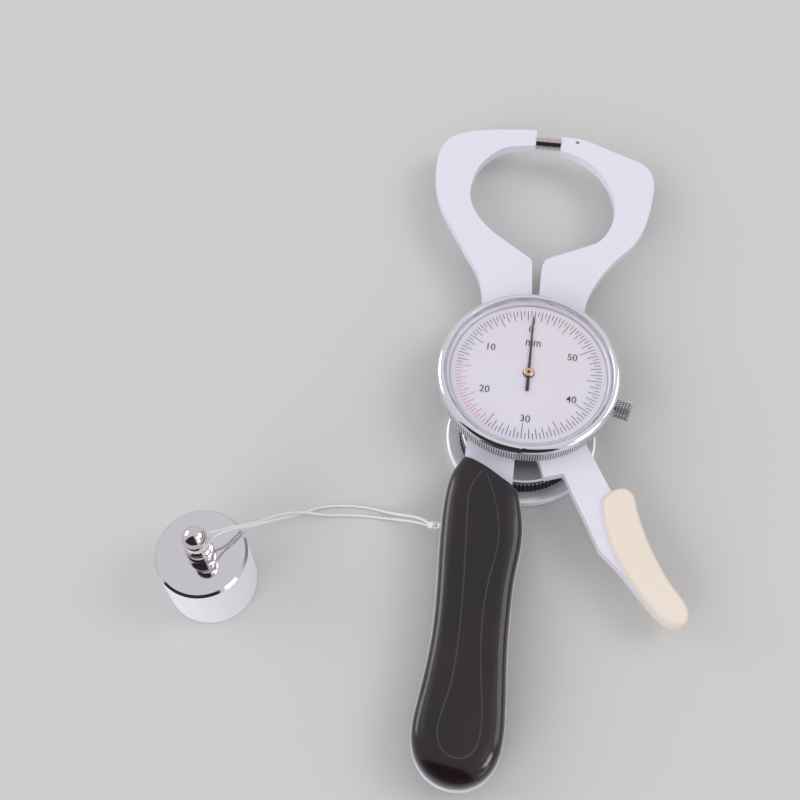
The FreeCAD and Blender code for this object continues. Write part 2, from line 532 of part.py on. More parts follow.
def build_bezel():
    centre = (0, DIAL_Y)
    skirt = slab(star(SKIRT_TEETH, SKIRT_R, SKIRT_R - 0.35, 0.35), SKIRT_BOTTOM, FLANGE_Z[0])
    skirt.translate(V(0, DIAL_Y, 0))
    skirt = skirt.cut(cyl(SKIRT_BORE_R, SKIRT_BOTTOM - 1, DIAL_Z[1], centre))
    skirt = skirt.cut(cyl(LIP_R, SKIRT_BOTTOM, FLANGE_Z[1], centre))
    bead_z = FLANGE_Z[1] - BEAD_R
    half = BEAD_R * math.sqrt(0.5)
    flange = lathe(((SIGHT_R, DIAL_Z[1]), (34.0, DIAL_Z[1]), (34.6, FLANGE_Z[0]),
                    ("arc", (34.9, 21.65), (FLANGE_R, bead_z)),
                    ("arc", (FLANGE_R - BEAD_R + half, bead_z + half), (FLANGE_R - BEAD_R, FLANGE_Z[1])),
                    (CRYSTAL_R + 0.4, FLANGE_Z[1]), (CRYSTAL_R + SEAT, 23.75),
                    (CRYSTAL_R + SEAT, CRYSTAL_Z[0]), (LIP_R, CRYSTAL_Z[0]), (SIGHT_R, DIAL_Z[1] + 0.2)),
                   centre)
    body = fuse(skirt, flange)
    body = body.cut(ring(SKIRT_BORE_R - 1, SKIRT_BORE_R + 0.4, *SNAP_Z_GROOVE, centre))
    body = body.cut(knob_axis_cylinder(KNOB_SCREW_R + RUN, CASE_R, FLANGE_R + 1))
    save("bezel_ring", body)
    save("dial_face", ring(DIAL_BORE_R, DIAL_R, *DIAL_Z, centre))
    save("dial_retaining_ring", ring(31.8, SKIRT_BORE_R - SEAT, 19.95, DIAL_Z[0], centre))
    crystal = lathe(((0, CRYSTAL_Z[0]), (CRYSTAL_R, CRYSTAL_Z[0]), (CRYSTAL_R, 23.45),
                     (CRYSTAL_R - 0.3, CRYSTAL_Z[1]), (0, CRYSTAL_Z[1])), centre)
    save("crystal", crystal)
    snap = ring(CASE_R - 0.35, SKIRT_BORE_R + 0.3, *SNAP_Z, centre)
    snap = snap.cut(Part.makeBox(3, 3, 2, V(-1.5, DIAL_Y + CASE_R - 1.5, SNAP_Z[0] - 0.5)))
    save("bezel_snap_ring", snap)


def knob_axis_cylinder(radius, start, end):
    """Cylinder on the lock screw's axis, between two distances from the dial centre."""
    out = V(math.cos(math.radians(KNOB_DEG)), math.sin(math.radians(KNOB_DEG)), 0)
    return Part.makeCylinder(radius, end - start, V(0, DIAL_Y, KNOB_Z) + out * start, out)


def build_lock_knob():
    low, high = KNOB_SPAN
    pitch = (high - low) / KNOB_ROWS
    root = KNOB_R - 0.4
    rows = []
    for row in range(KNOB_ROWS):
        start = low + row * pitch
        end = start + pitch
        teeth = slab(star(KNOB_TEETH, KNOB_R, root), start, end)
        teeth.rotate(V(0, 0, 0), UP, 180.0 / KNOB_TEETH * row)
        trim = lathe(((0, start), (root - 0.02, start), (KNOB_R + 0.1, start + 0.4),
                      (KNOB_R + 0.1, end - 0.4), (root - 0.02, end), (0, end)))
        rows.append(teeth.common(trim))
    head = fuse(*rows)
    head.rotate(V(0, 0, 0), V(0, 1, 0), 90)
    head.rotate(V(0, 0, 0), UP, KNOB_DEG)
    head.translate(V(0, DIAL_Y, KNOB_Z))
    save("lock_knob", fuse(head, knob_axis_cylinder(KNOB_SCREW_R, KNOB_SCREW_TIP, low + 1)))


def build_needle():
    low, high = NEEDLE_Z
    centre = (0, DIAL_Y)
    blade = slab(outline((-0.5, 0), ("to", (-0.62, -NEEDLE_TAIL), (0.62, -NEEDLE_TAIL), (0.5, 0),
                                     (0.2, NEEDLE_TIP), (-0.2, NEEDLE_TIP))), low, high)
    blade.translate(V(0, DIAL_Y, 0))
    blade = fuse(blade, cyl(NEEDLE_EYE_R, low, high, centre))
    save("needle", blade.cut(cyl(NEEDLE_NECK_R + SEAT, low - 1, high + 1, centre)))
    hub = lathe(((0, low - 0.3), (1.3, low - 0.3), (1.3, low), (NEEDLE_NECK_R, low), (NEEDLE_NECK_R, high),
                 (1.8, high), (1.8, high + 0.2), (1.5, ARBOR_Z[2]), (0, ARBOR_Z[2])), centre)
    save("needle_hub", hub.cut(cyl(ARBOR_R + SEAT, low - 1, high + 1, centre)))


# ---------------------------------------------------------------- grips
def build_handle():
    top = SHELL_TOP
    front = crowned(HANDLE, LEAF, ((ARM_TOP, 0.0), (ARM_TOP + 2.3, 0.015), (top - 2.3, 0.09),
                                   (top - 1.15, 0.24), (top - 0.45, 0.45), (top - 0.1, 0.68), (top, 0.88)))
    groove = slab(loop(LEAF, LEAF_LINE / 2), top - LEAF_LINE, top + 1)
    groove = groove.cut(slab(loop(LEAF, -LEAF_LINE / 2), top - 1, top + 2))
    front = front.cut(groove)
    holes = [cyl(HANDLE_SCREW_R + SEAT, ARM_TOP - 1, ARM_TOP + 4.0, at) for at in HANDLE_SCREWS_AT]
    save("handle_front_shell", front.cut(Part.makeCompound(holes)))

    low = SHELL_BACK
    back = crowned(HANDLE, LEAF, ((low, 0.58), (low + 0.2, 0.44), (low + 0.7, 0.28), (low + 1.6, 0.14),
                                  (low + 2.9, 0.05), (low + 4.4, 0.01), (FIXED_BOTTOM, 0.0)))
    tools = [cyl(WHEEL_R + 1.0, 0, FIXED_BOTTOM + 1)]
    tools += [cyl(HANDLE_SCREW_R + CLEAR, 0, FIXED_BOTTOM + 1, at) for at in HANDLE_SCREWS_AT]
    tools += [cyl(2.9, 0, low + 2.4, at) for at in HANDLE_SCREWS_AT]
    save("handle_back_shell", back.cut(Part.makeCompound(tools)))
    screws = []
    for x, y in HANDLE_SCREWS_AT:
        screw = fuse(cyl(HANDLE_SCREW_R, low + 2, ARM_TOP + 3.6, (x, y)),
                     cyl(2.75, low + 0.9, low + 2.4, (x, y)))
        screws.append(screw.cut(Part.makeBox(6, 0.8, 0.6, V(x - 3, y - 0.4, low + 0.8))))
    save("handle_screws", *screws)


def build_thumb_pad():
    low, high = PAD_Z
    body = pillow(THUMB_PAD, ((low, 3.0), (low + 0.4, 1.5), (low + 1.8, 0.3), (low + 5.0, 0.0),
                              (high - 1.8, 0.2), (high - 0.5, 0.8), (high, 1.9)))
    lever = slab(outline(*MOVING_ARM), MOVING_BOTTOM - SEAT, ARM_TOP + SEAT)
    body = body.cut(lever)
    tools = [cyl(SMALL_SCREW_R + SEAT, MOVING_BOTTOM, ARM_TOP + 2.2, at) for at in PAD_SCREWS_AT]
    tools += [cyl(SMALL_SCREW_R + CLEAR, low - 1, MOVING_BOTTOM, at) for at in PAD_SCREWS_AT]
    tools += [cyl(1.9, low - 1, low + 1.3, at) for at in PAD_SCREWS_AT]
    save("thumb_pad", body.cut(Part.makeCompound(tools)))
    save("thumb_pad_screws", *[fuse(cyl(SMALL_SCREW_R, low + 1.2, ARM_TOP + 2.0, at),
                                    cyl(1.8, low + 0.4, low + 1.3, at))
                               for at in PAD_SCREWS_AT])


# ---------------------------------------------------------------- eyelet, cord and test weight
def eye_shank(extra=0.0):
    reach = EYE_AT[0] + EYE_R
    return Part.makeCylinder(SHANK_R + extra, 5.0 + extra, V(reach, EYE_AT[1], ARM_MID), V(1, 0, 0))


def cord_eye():
    eye = Part.makeTorus(EYE_R, EYE_WIRE, V(*EYE_AT, ARM_MID), UP)
    return fuse(eye, eye_shank())


# Control points of the cord loop, from the eyelet to the weight's neck and back. The first eight runs
# leave the handle and lie along the ground, two points hold up the crossing, and a bow comes back.
CORD_ROUTE = (
    (-31.0, -45.6, 12.5), (-34.2, -44.0, 10.2), (-38.3, -41.9, 5.6), (-43.2, -40.4, 1.8),
    (-49.5, -40.1, 0.6), (-57.0, -40.1, 0.7), (-64.6, -40.8, 0.6), (-71.2, -41.9, 1.2),
    (-76.9, -42.0, 2.6), (-81.6, -43.8, 6.2), (-84.9, -47.2, 13.6), (-87.4, -50.6, 22.0),
    (-90.4, -54.0, 29.6), (-94.0, -57.6, 35.0), (-98.4, -61.8, 37.4), (-103.4, -66.5, 37.7),
    (-108.5, -68.35, 37.7), (-111.2, -70.2, 37.7), (-111.45, -73.2, 37.7), (-109.25, -75.45, 37.7),
    (-106.2, -75.15, 37.7), (-104.4, -72.5, 37.7), (-102.6, -67.6, 37.7), (-97.6, -62.6, 37.3),
    (-93.3, -58.4, 34.4), (-89.8, -55.2, 28.2), (-87.0, -51.9, 20.2), (-84.5, -48.3, 11.0),
    (-82.0, -44.9, 4.2), (-78.4, -41.5, 1.1), (-73.2, -38.7, 0.6), (-67.0, -37.2, 0.7),
    (-60.0, -36.5, 0.6), (-53.4, -36.7, 0.7), (-47.4, -37.8, 1.2), (-42.2, -39.0, 3.6),
    (-37.7, -40.9, 8.0), (-33.9, -42.9, 11.9), (-31.0, -45.0, 13.5))


def cord_path(points):
    """Straight runs joined by tangent arcs; prints each arc's radius."""
    points = [V(*point) for point in points]
    edges = []
    radii = []
    start = points[0]
    for before, corner, after in zip(points, points[1:], points[2:]):
        back = (before - corner).normalize()
        ahead = (after - corner).normalize()
        turn = math.pi - back.getAngle(ahead)
        reach = 0.45 * min((corner - before).Length, (after - corner).Length)
        radius = reach / math.tan(turn / 2)
        first = corner + back * reach
        last = corner + ahead * reach
        inward = (back + ahead).normalize()
        centre_gap = math.hypot(radius, reach)
        middle = corner + inward * (centre_gap - radius)
        edges.append(Part.LineSegment(start, first).toShape())
        edges.append(Part.Arc(first, middle, last).toShape())
        radii.append(round(radius, 1))
        start = last
    edges.append(Part.LineSegment(start, points[-1]).toShape())
    print("cord radii, mm:", radii, "smallest", min(radii))
    return Part.Wire(edges)


def build_cord():
    path = cord_path(CORD_ROUTE)
    first = path.Edges[0]
    section = Part.Wire([Part.Circle(first.Vertexes[0].Point, first.tangentAt(first.FirstParameter),
                                     CORD_R).toShape()])
    tube = path.makePipeShell([section], True, False, 2)
    print("cord length, mm:", round(path.Length, 1), "tube volume over section times length:",
          round(tube.Volume / (math.pi * CORD_R ** 2 * path.Length), 4))
    across = V(0, 1, 0)
    bight = Part.makeTorus(BIGHT_R, BIGHT_CORD_R, V(EYE_AT[0] - EYE_R, EYE_AT[1], ARM_MID), across)
    knot = fuse(Part.makeSphere(KNOT_R, V(*KNOT_AT), across), bight)
    save("cord_eyelet", cord_eye())
    save("cord_knot", knot)
    save("cord_tube", tube.cut(knot))


def build_weight():
    top = WEIGHT_H
    bore = SPIGOT_R + SEAT
    save("weight_body", lathe(((0, 0), (15.9, 0), (WEIGHT_R, 0.5), (WEIGHT_R, top - 0.9),
                               (WEIGHT_R - 0.9, top), (bore, top), (bore, SPIGOT_Z - 0.1),
                               (0, SPIGOT_Z - 0.1)), WEIGHT_AT))
    stem = lathe(((0, SPIGOT_Z), (SPIGOT_R, SPIGOT_Z), (SPIGOT_R, top), (3.9, top), (3.7, top + 1.3),
                  (4.6, top + 1.7), ("arc", (5.1, top + 3.8), (4.5, top + 6.0)), (3.9, top + 6.4),
                  (4.3, top + 6.7), ("arc", (4.55, top + 7.1), (4.3, top + 7.5)), (2.7, top + 8.0),
                  (2.7, BALL_Z), (0, BALL_Z)), WEIGHT_AT)
    save("weight_knob", fuse(stem, Part.makeSphere(BALL_R, V(*WEIGHT_AT, BALL_Z))))


def main():
    os.makedirs("parts", exist_ok=True)
    build_arms()
    build_pivot()
    build_gears()
    build_case()
    build_bezel()
    build_lock_knob()
    build_needle()
    build_handle()
    build_thumb_pad()
    build_cord()
    build_weight()


main()
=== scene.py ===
"""Looks of a plate skinfold caliper: enamelled arms, chromed dial, black grip and test weight.

Everything is in metres in the part's own frame: the origin is the lever's pivot on the back disc's
face, +Y runs to the jaw tips, +X towards the moving arm and +Z out through the dial. The lengths
below are in millimetres and are multiplied by MM where they are used.
"""
import json
import math

import bpy
from mathutils import Matrix, Vector


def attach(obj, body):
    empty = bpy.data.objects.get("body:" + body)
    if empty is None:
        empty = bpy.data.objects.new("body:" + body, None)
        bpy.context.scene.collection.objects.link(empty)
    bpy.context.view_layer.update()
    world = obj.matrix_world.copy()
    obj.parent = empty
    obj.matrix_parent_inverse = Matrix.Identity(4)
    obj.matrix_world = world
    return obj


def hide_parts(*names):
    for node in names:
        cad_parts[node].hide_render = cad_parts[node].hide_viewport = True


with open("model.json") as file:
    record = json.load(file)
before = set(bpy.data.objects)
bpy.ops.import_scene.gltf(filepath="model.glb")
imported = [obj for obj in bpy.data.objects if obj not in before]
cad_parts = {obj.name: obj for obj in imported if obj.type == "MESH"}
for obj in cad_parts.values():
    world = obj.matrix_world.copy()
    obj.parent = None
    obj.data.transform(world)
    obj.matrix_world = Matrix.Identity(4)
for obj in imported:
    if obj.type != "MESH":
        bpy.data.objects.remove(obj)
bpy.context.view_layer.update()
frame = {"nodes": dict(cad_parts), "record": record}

MM = 0.001

# ---------------------------------------------------------------- measures shared with the solids
DIAL_CENTRE = (0.0, 17.6)
DIAL_TOP = 21.2
ZERO_DEG = -1.4                  # the dial is set this far round from +Y
LOCK_KNOB_DEG = -15.0            # direction of the lock screw, seen from the dial's centre
LOCK_KNOB_Z = 18.0
LOCK_KNOB_TEETH_R = (3.38, 3.66)   # foot and point of the knurl's diamonds
PIVOT = (0.0, 0.0)
WEIGHT_AT = (-108.0, -72.0)
WEIGHT_TOP = 28.8
GRIP_MIDDLE_X = -12.0
GRIP_END_Y = -121.0              # centre of the grip's round end
GRIP_HALF_WIDTH = 14.4
GRIP_CROWN = 1.7                 # how far the crown falls at the grip's edge
GRIP_CROWN_POWER = 4.0           # the higher, the flatter its middle
GRIP_LINE_FLOOR = 21.36          # height of the engraved line's floor
EYE_WIRE_AT = (-29.45, -45.5, 13.35)   # the eyelet wire that the cord turns round
KNOT_AT = (-30.1, -45.4, 13.1)
CORD_ROUTE = (
    (-31.0, -45.6, 12.5), (-34.2, -44.0, 10.2), (-38.3, -41.9, 5.6), (-43.2, -40.4, 1.8),
    (-49.5, -40.1, 0.6), (-57.0, -40.1, 0.7), (-64.6, -40.8, 0.6), (-71.2, -41.9, 1.2),
    (-76.9, -42.0, 2.4), (-81.4, -44.0, 5.9), (-84.9, -47.4, 11.6), (-88.2, -51.7, 17.5),
    (-90.9, -56.2, 23.4), (-94.6, -60.3, 29.4), (-98.6, -63.5, 34.2), (-103.0, -67.2, 37.0),
    (-108.5, -68.35, 37.7), (-111.2, -70.2, 37.7), (-111.45, -73.2, 37.7),
    (-109.25, -75.45, 37.7), (-106.2, -75.15, 37.7), (-104.4, -72.5, 37.7),
    (-102.4, -68.2, 37.2), (-97.8, -64.2, 34.6), (-93.8, -61.0, 29.6), (-90.0, -56.9, 24.0),
    (-87.2, -53.0, 18.0), (-84.5, -48.5, 10.6), (-82.0, -44.9, 4.2), (-78.4, -41.5, 1.1),
    (-73.2, -38.7, 0.6), (-67.0, -37.2, 0.7), (-60.0, -36.5, 0.6), (-53.4, -36.7, 0.7),
    (-47.4, -37.8, 1.2), (-42.2, -39.0, 3.6), (-37.7, -40.9, 8.0), (-33.9, -42.9, 11.9),
    (-31.0, -45.0, 13.5))

# ---------------------------------------------------------------- camera
CAMERA_AT = (-14.9, -209.8, 423.0)
CAMERA_RIGHT = (0.9917, 0.1281, -0.0131)
CAMERA_DOWN = (0.1072, -0.8776, -0.4672)
CAMERA_LENS = 54.0
CAMERA_SENSOR = 36.0


def set_camera():
    """Camera over the handle's end, looking up the caliper towards the jaws."""
    right, down = Vector(CAMERA_RIGHT), Vector(CAMERA_DOWN)
    ahead = right.cross(down).normalized()
    down = ahead.cross(right).normalized()
    turn = Matrix((right.normalized(), -down, -ahead)).transposed()
    data = bpy.data.cameras.new("view_camera")
    data.sensor_width = CAMERA_SENSOR
    data.lens = CAMERA_LENS
    data.clip_start = 0.01
    data.clip_end = 20.0
    camera = bpy.data.objects.new("view_camera", data)
    bpy.context.collection.objects.link(camera)
    camera.matrix_world = Matrix.Translation(Vector(CAMERA_AT) * MM) @ turn.to_4x4()
    bpy.context.scene.camera = camera


# ---------------------------------------------------------------- mesh tools
def piece(name, vertices, faces, body, material, smooth=False):
    """New mesh object that rides on a body."""
    mesh = bpy.data.meshes.new(name)
    mesh.from_pydata([tuple(v) for v in vertices], [], faces)
    mesh.validate()
    if smooth:
        mesh.shade_smooth()
    else:
        mesh.shade_flat()
    made = bpy.data.objects.new(name, mesh)
    bpy.context.collection.objects.link(made)
    made.data.materials.append(material)
    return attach(made, body)


def bar(inner, outer, width, angle, low, high):
    """Corners and faces of a thin radial bar about the dial's centre, in metres."""
    along = Vector((math.cos(angle), math.sin(angle), 0))
    across = Vector((-along.y, along.x, 0)) * width / 2
    centre = Vector((*DIAL_CENTRE, 0))
    corners = []
    for z in (low, high):
        for radius, side in ((inner, -1), (outer, -1), (outer, 1), (inner, 1)):
            corners.append((centre + along * radius + across * side + Vector((0, 0, z))) * MM)
    faces = [(3, 2, 1, 0), (4, 5, 6, 7)]
    faces += [(side, (side + 1) % 4, (side + 1) % 4 + 4, side + 4) for side in range(4)]
    return corners, faces


def tube(points, radius, sides, closed=False, start_angle=0.0, lay=0.0, offset=0.0):
    """Vertices and faces of a round tube along points, carried on frames that don't twist.

    With an offset the tube winds round the line, once in each lay length from its start angle.
    """
    count = len(points)
    ahead = []
    for number in range(count):
        before = points[(number - 1) % count] if closed or number else points[0]
        after = points[(number + 1) % count] if closed or number < count - 1 else points[-1]
        ahead.append((after - before).normalized())
    side = ahead[0].orthogonal().normalized()
    vertices = []
    travelled = 0.0
    for number in range(count):
        side = (side - ahead[number] * side.dot(ahead[number])).normalized()
        other = ahead[number].cross(side)
        if number:
            travelled += (points[number] - points[number - 1]).length
        phase = start_angle + (2 * math.pi * travelled / lay if lay else 0.0)
        middle = points[number] + (side * math.cos(phase) + other * math.sin(phase)) * offset
        for corner in range(sides):
            angle = 2 * math.pi * corner / sides
            vertices.append(middle + (side * math.cos(angle) + other * math.sin(angle)) * radius)
    faces = []
    for number in range(count if closed else count - 1):
        following = (number + 1) % count
        for corner in range(sides):
            beside = (corner + 1) % sides
            faces.append((number * sides + corner, number * sides + beside,
                          following * sides + beside, following * sides + corner))
    if not closed:
        faces.append(tuple(reversed(range(sides))))
        faces.append(tuple(range((count - 1) * sides, count * sides)))
    return vertices, faces


def joined(parts):
    """One list of vertices and faces from several."""
    vertices, faces = [], []
    for some_vertices, some_faces in parts:
        start = len(vertices)
        vertices += some_vertices
        faces += [tuple(start + corner for corner in face) for face in some_faces]
    return vertices, faces


# ---------------------------------------------------------------- shader nodes
MIX_COLOUR_INPUTS = (6, 7)       # a Mix node's two colour inputs and its colour output
MIX_COLOUR_OUTPUT = 2


def new_group(name, inputs, outputs):
    """Empty node group with (socket type, name, default) inputs and (type, name) outputs."""
    group = bpy.data.node_groups.new(name, "ShaderNodeTree")
    for kind, label, default in inputs:
        socket = group.interface.new_socket(name=label, in_out="INPUT", socket_type=kind)
        socket.default_value = default
    for kind, label in outputs:
        group.interface.new_socket(name=label, in_out="OUTPUT", socket_type=kind)
    return group, group.nodes.new("NodeGroupInput"), group.nodes.new("NodeGroupOutput")


def feed(tree, socket, value):
    """Sets a plain number or vector on a socket, or links another socket to it."""
    if isinstance(value, (int, float, tuple, Vector)):
        socket.default_value = value
    else:
        tree.links.new(value, socket)


def math_node(tree, operation, first, second=None, clamp=False):
    node = tree.nodes.new("ShaderNodeMath")
    node.operation = operation
    node.use_clamp = clamp
    feed(tree, node.inputs[0], first)
    if second is not None:
        feed(tree, node.inputs[1], second)
    return node.outputs[0]


def vector_math(tree, operation, first, second=None, result="Vector"):
    node = tree.nodes.new("ShaderNodeVectorMath")
    node.operation = operation
    feed(tree, node.inputs[0], first)
    if second is not None:
        feed(tree, node.inputs[1], second)
    return node.outputs[result]


def opposite(tree, mask):
    """1 where the mask is 0."""
    return math_node(tree, "SUBTRACT", 1.0, mask)


def noise(tree, vector, scale, detail=3.0):
    node = tree.nodes.new("ShaderNodeTexNoise")
    node.inputs["Detail"].default_value = detail
    node.inputs["Roughness"].default_value = 0.55
    tree.links.new(vector, node.inputs["Vector"])
    feed(tree, node.inputs["Scale"], scale)
    return node.outputs["Fac"]


def object_place(tree):
    return tree.nodes.new("ShaderNodeTexCoord").outputs["Object"]


def axes(tree, vector):
    """The X, Y and Z outputs of a vector."""
    parts = tree.nodes.new("ShaderNodeSeparateXYZ")
    tree.links.new(vector, parts.inputs[0])
    return parts.outputs


def bumped(tree, height, depth, distance):
    node = tree.nodes.new("ShaderNodeBump")
    tree.links.new(height, node.inputs["Height"])
    feed(tree, node.inputs["Strength"], depth)
    feed(tree, node.inputs["Distance"], distance)
    return node


def tinted(tree, colour, factor):
    """colour times factor, as a colour."""
    node = tree.nodes.new("ShaderNodeVectorMath")
    node.operation = "SCALE"
    tree.links.new(colour, node.inputs[0])
    tree.links.new(factor, node.inputs["Scale"])
    return node.outputs["Vector"]


def in_range(tree, value, low, high):
    """0 below low, 1 above high and smooth between them."""
    node = tree.nodes.new("ShaderNodeMapRange")
    node.interpolation_type = "SMOOTHSTEP"
    tree.links.new(value, node.inputs["Value"])
    node.inputs["From Min"].default_value = low
    node.inputs["From Max"].default_value = high
    return node.outputs["Result"]


def mixed(tree, factor, first, second):
    """Colour between two; each is a socket or a plain colour."""
    node = tree.nodes.new("ShaderNodeMix")
    node.data_type = "RGBA"
    tree.links.new(factor, node.inputs["Factor"])
    for number, value in zip(MIX_COLOUR_INPUTS, (first, second)):
        feed(tree, node.inputs[number], (*value, 1) if isinstance(value, tuple) else value)
    return node.outputs[MIX_COLOUR_OUTPUT]


def mixed_level(tree, factor, first, second):
    """Number between two; each is a socket or a plain number."""
    node = tree.nodes.new("ShaderNodeMix")
    tree.links.new(factor, node.inputs["Factor"])
    feed(tree, node.inputs["A"], first)
    feed(tree, node.inputs["B"], second)
    return node.outputs["Result"]


# ---------------------------------------------------------------- shader groups
# Noise scales are in turns of the pattern in each metre, bump distances in metres.
CLOUD_SCALE = 45.0
GLOSS_SCALE = 160.0
PATCH_SCALE = 28.0
PATCH_EDGE = (0.42, 0.66)
PEBBLE_DISTANCE = 0.00005
RING_GLOSS_SWING = 0.25
RING_DISTANCE = 0.00003
HAZE_SCALE = 70.0
HAZE_SHADE = 0.05
WIPE_SCALE = (3000, 260, 900)
WIPE_TURN = (0.3, 0.2, 0.6)
WIPE_DISTANCE = 0.00002


def make_finish_grain():
    """Cast, sprayed or moulded skin: cloudy colour, uneven gloss and a fine pebble."""
    tree, given, out = new_group(
        "finish_grain",
        [("NodeSocketColor", "Color", (0.8, 0.8, 0.8, 1)),
         ("NodeSocketFloat", "Clouding", 0.04),
         ("NodeSocketColor", "Patch Color", (0.8, 0.8, 0.8, 1)),
         ("NodeSocketFloat", "Patches", 0.0),
         ("NodeSocketFloat", "Roughness", 0.4),
         ("NodeSocketFloat", "Gloss Change", 0.06),
         ("NodeSocketFloat", "Pebble Scale", 2500.0),
         ("NodeSocketFloat", "Pebble Depth", 0.1)],
        [("NodeSocketColor", "Color"), ("NodeSocketFloat", "Roughness"),
         ("NodeSocketVector", "Normal")])
    place = object_place(tree)
    wide = math_node(tree, "SUBTRACT", noise(tree, place, CLOUD_SCALE), 0.5)
    uneven = math_node(tree, "SUBTRACT", noise(tree, place, GLOSS_SCALE, 5.0), 0.5)
    clouding = math_node(tree, "MULTIPLY", wide, given.outputs["Clouding"])
    spread = in_range(tree, noise(tree, place, PATCH_SCALE, 1.0), *PATCH_EDGE)
    patched = mixed(tree, math_node(tree, "MULTIPLY", spread, given.outputs["Patches"]),
                    given.outputs["Color"], given.outputs["Patch Color"])
    colour = tinted(tree, patched, math_node(tree, "ADD", clouding, 1.0))
    tree.links.new(colour, out.inputs["Color"])
    change = math_node(tree, "MULTIPLY", uneven, given.outputs["Gloss Change"])
    roughness = math_node(tree, "ADD", given.outputs["Roughness"], change, True)
    tree.links.new(roughness, out.inputs["Roughness"])
    pebble = noise(tree, place, given.outputs["Pebble Scale"], 2.0)
    bump = bumped(tree, pebble, given.outputs["Pebble Depth"], PEBBLE_DISTANCE)
    tree.links.new(bump.outputs["Normal"], out.inputs["Normal"])
    return tree


def make_lathe_marks():
    """Turned metal: fine rings about an upright axis, as roughness and normal."""
    tree, given, out = new_group(
        "lathe_marks",
        [("NodeSocketVector", "Axis At", (0, 0, 0)), ("NodeSocketFloat", "Roughness", 0.25),
         ("NodeSocketFloat", "Ring Scale", 4000.0), ("NodeSocketFloat", "Ring Depth", 0.15)],
        [("NodeSocketFloat", "Roughness"), ("NodeSocketVector", "Normal")])
    away = vector_math(tree, "SUBTRACT", object_place(tree), given.outputs["Axis At"])
    flat = vector_math(tree, "MULTIPLY", away, (1, 1, 0))
    radius = vector_math(tree, "LENGTH", flat, result="Value")
    texture = tree.nodes.new("ShaderNodeTexNoise")
    texture.noise_dimensions = "1D"
    texture.inputs["Scale"].default_value = 1.0
    texture.inputs["Detail"].default_value = 2.0
    tree.links.new(math_node(tree, "MULTIPLY", radius, given.outputs["Ring Scale"]),
                   texture.inputs["W"])
    rings = texture.outputs["Fac"]
    swing = math_node(tree, "MULTIPLY", math_node(tree, "SUBTRACT", rings, 0.5), RING_GLOSS_SWING)
    roughness = math_node(tree, "ADD", given.outputs["Roughness"], swing, True)
    tree.links.new(roughness, out.inputs["Roughness"])
    bump = bumped(tree, rings, given.outputs["Ring Depth"], RING_DISTANCE)
    tree.links.new(bump.outputs["Normal"], out.inputs["Normal"])
    return tree


def make_ring_band():
    """1 inside a ring about an upright axis and a band of heights, in mm, with soft edges."""
    tree, given, out = new_group(
        "ring_band",
        [("NodeSocketVector", "Axis At", (0, 0, 0)), ("NodeSocketFloat", "Inner", 0.0),
         ("NodeSocketFloat", "Outer", 1000.0), ("NodeSocketFloat", "Low", -1000.0),
         ("NodeSocketFloat", "High", 1000.0), ("NodeSocketFloat", "Soft", 0.1)],
        [("NodeSocketFloat", "Mask")])
    away = axes(tree, vector_math(tree, "SUBTRACT", object_place(tree), given.outputs["Axis At"]))
    square = math_node(tree, "ADD", math_node(tree, "MULTIPLY", away["X"], away["X"]),
                       math_node(tree, "MULTIPLY", away["Y"], away["Y"]))
    radius = math_node(tree, "DIVIDE", math_node(tree, "SQRT", square), MM)
    height = math_node(tree, "DIVIDE", away["Z"], MM)
    mask = None
    for value, edge, sign in ((radius, "Inner", 1), (radius, "Outer", -1), (height, "Low", 1),
                              (height, "High", -1)):
        past = math_node(tree, "SUBTRACT", value, given.outputs[edge])
        share = math_node(tree, "DIVIDE", math_node(tree, "MULTIPLY", past, sign),
                          given.outputs["Soft"])
        step = math_node(tree, "ADD", share, 0.5, True)
        mask = step if mask is None else math_node(tree, "MULTIPLY", mask, step)
    tree.links.new(mask, out.inputs["Mask"])
    return tree


def make_plating_polish():
    """Plated metal: almost even mirror with hairline wipes and faint haze."""
    tree, given, out = new_group(
        "plating_polish",
        [("NodeSocketColor", "Color", (0.8, 0.8, 0.82, 1)), ("NodeSocketFloat", "Roughness", 0.08),
         ("NodeSocketFloat", "Haze", 0.06), ("NodeSocketFloat", "Wipe Depth", 0.05)],
        [("NodeSocketColor", "Color"), ("NodeSocketFloat", "Roughness"),
         ("NodeSocketVector", "Normal")])
    place = object_place(tree)
    cloud = math_node(tree, "SUBTRACT", noise(tree, place, HAZE_SCALE, 4.0), 0.5)
    haze = math_node(tree, "MULTIPLY", cloud, given.outputs["Haze"])
    roughness = math_node(tree, "ADD", given.outputs["Roughness"], haze, True)
    tree.links.new(roughness, out.inputs["Roughness"])
    shade = math_node(tree, "ADD", math_node(tree, "MULTIPLY", cloud, HAZE_SHADE), 1.0)
    tree.links.new(tinted(tree, given.outputs["Color"], shade), out.inputs["Color"])
    stretch = tree.nodes.new("ShaderNodeMapping")
    stretch.inputs["Scale"].default_value = WIPE_SCALE
    stretch.inputs["Rotation"].default_value = WIPE_TURN
    tree.links.new(place, stretch.inputs["Vector"])
    wipes = noise(tree, stretch.outputs["Vector"], 1.0, 2.0)
    bump = bumped(tree, wipes, given.outputs["Wipe Depth"], WIPE_DISTANCE)
    tree.links.new(bump.outputs["Normal"], out.inputs["Normal"])
    return tree


FINISH_GRAIN = make_finish_grain()
LATHE_MARKS = make_lathe_marks()
PLATING_POLISH = make_plating_polish()
RING_BAND = make_ring_band()


# ---------------------------------------------------------------- kinds of finish
def new_material(name, **values):
    """Material with one Principled shader; values are its sockets, with _ for spaces."""
    material = bpy.data.materials.new(name)
    material.use_nodes = True
    shader = material.node_tree.nodes["Principled BSDF"]
    for label, value in values.items():
        socket = label.replace("_", " ").title().replace("Ior", "IOR")
        shader.inputs[socket].default_value = value
    return material


